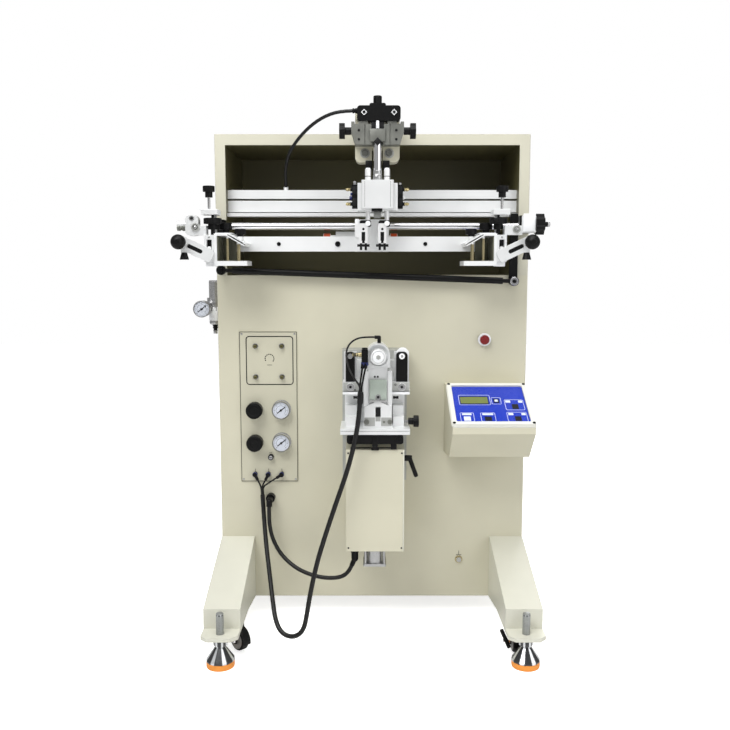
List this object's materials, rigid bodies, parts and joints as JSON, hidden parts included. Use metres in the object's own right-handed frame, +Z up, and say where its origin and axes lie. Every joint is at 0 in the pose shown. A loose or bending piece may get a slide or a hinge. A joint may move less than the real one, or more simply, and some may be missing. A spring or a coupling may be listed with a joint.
{
  "type": "cylindrical screen printing machine",
  "caption": "Floor-standing pneumatic screen printer for bottles, with a sliding screen carriage, squeegee head, lifting nest with chuck and a sloped control console.",
  "frame": {"origin": "on the floor below the middle of the cabinet", "axes": "+X to the right as seen from the front, +Y to the rear, +Z up"},
  "size_m": [0.812, 0.9124, 1.198],
  "materials": {
    "cream_paint": "satin paint",
    "leg_paint": "satin paint",
    "aluminium": "milled and anodised",
    "cast_grey": "cast, bead blasted",
    "chrome": "polished",
    "steel": "turned",
    "black_plastic": "moulded",
    "black_paint": "satin",
    "black_hose": "matt",
    "orange_rubber": "matt",
    "caster_rubber": "matt",
    "blue_panel": "membrane",
    "panel_paint": "satin paint",
    "gauge_white": "dial in a chrome case",
    "red_plastic": "moulded"
  },
  "bodies": {
    "frame": {"base_cabinet": "cream_paint", "hood": "cream_paint", "rear_cover": "cream_paint", "legs": "leg_paint", "levelling_feet": "chrome", "foot_pads": "orange_rubber", "caster_plates": "steel", "rear_casters": "black_paint", "print_rails": "aluminium", "guide_shaft": "chrome", "shaft_supports": "black_paint", "rocker_arm": "black_paint", "tie_rod": "black_paint", "head_arm": "cream_paint", "head_slide": "cast_grey", "head_column": "chrome", "sensor_plate": "black_plastic", "head_knobs": "black_plastic", "cylinder_block": "aluminium", "valve_blocks": "black_plastic", "nest_guide_plate": "cast_grey", "column_cover": "cream_paint", "lift_cylinder": "steel", "pneumatic_panel": "panel_paint", "regulator_knobs": "black_plastic", "pressure_gauges": "gauge_white", "panel_fittings": "black_plastic", "console_housing": "cream_paint", "console_lid": "cream_paint", "membrane_panel": "blue_panel", "button_bezel": "steel", "hose_grommet": "black_plastic", "filter_regulator": "steel", "main_hose": "black_hose", "column_hose": "black_hose", "head_hose": "black_hose", "panel_tubes": "black_hose"},
    "screen_carriage": {"carriage_bar": "aluminium", "clamp_channel_left": "aluminium", "clamp_channel_right": "aluminium", "clamp_arm_left": "aluminium", "clamp_arm_right": "aluminium", "clamp_knobs_left": "black_plastic", "clamp_knobs_right": "black_plastic"},
    "squeegee": {"squeegee_holder": "aluminium"},
    "flood_bar": {"flood_holder": "aluminium"},
    "nest": {"nest_table": "aluminium", "nest_base": "cast_grey", "nest_arms": "black_paint", "guard_bar": "black_paint", "chuck_housing": "aluminium", "nest_fittings": "black_plastic", "nest_tubes": "black_hose"},
    "chuck": {"chuck": "aluminium"},
    "lever": {"clamp_lever": "black_plastic"},
    "button": {"push_button": "red_plastic"},
    "left_caster": {"caster_fork_left": "black_paint"},
    "left_wheel": {"caster_wheel_left": "caster_rubber"},
    "right_caster": {"caster_fork_right": "black_paint"},
    "right_wheel": {"caster_wheel_right": "caster_rubber"}
  },
  "joints": [
    {"name": "carriage_slide", "type": "slide", "parent": "frame", "child": "screen_carriage", "axis": [1, 0, 0], "range_m": [-0.11, 0.11]},
    {"name": "squeegee_lift", "type": "slide", "parent": "frame", "child": "squeegee", "axis": [0, 0, 1], "range_m": [0, 0.015]},
    {"name": "flood_bar_lift", "type": "slide", "parent": "frame", "child": "flood_bar", "axis": [0, 0, 1], "range_m": [0, 0.015]},
    {"name": "nest_lift", "type": "slide", "parent": "frame", "child": "nest", "axis": [0, 0, 1], "range_m": [0, 0.09]},
    {"name": "chuck_spin", "type": "hinge", "parent": "nest", "child": "chuck", "pos_m": [0.0115, -0.305, 0.644], "axis": [0, -1, 0], "continuous": true},
    {"name": "lever_turn", "type": "hinge", "parent": "frame", "child": "lever", "pos_m": [0.0698, -0.265, 0.409], "axis": [1, 0, 0], "range_deg": [-45, 45]},
    {"name": "button_press", "type": "slide", "parent": "frame", "child": "button", "axis": [0, 1, 0], "range_m": [0, 0.003], "stiffness_N_per_m": 400},
    {"name": "left_caster_swivel", "type": "hinge", "parent": "frame", "child": "left_caster", "pos_m": [-0.3115, -0.338, 0.059], "axis": [0, 0, 1], "continuous": true},
    {"name": "left_wheel_spin", "type": "hinge", "parent": "left_caster", "child": "left_wheel", "pos_m": [-0.2917, -0.3578, 0.027], "axis": [0.7071, 0.7071, 0], "continuous": true},
    {"name": "right_caster_swivel", "type": "hinge", "parent": "frame", "child": "right_caster", "pos_m": [0.3115, -0.338, 0.059], "axis": [0, 0, 1], "continuous": true},
    {"name": "right_wheel_spin", "type": "hinge", "parent": "right_caster", "child": "right_wheel", "pos_m": [0.3115, -0.366, 0.027], "axis": [1, 0, 0], "continuous": true}
  ]
}
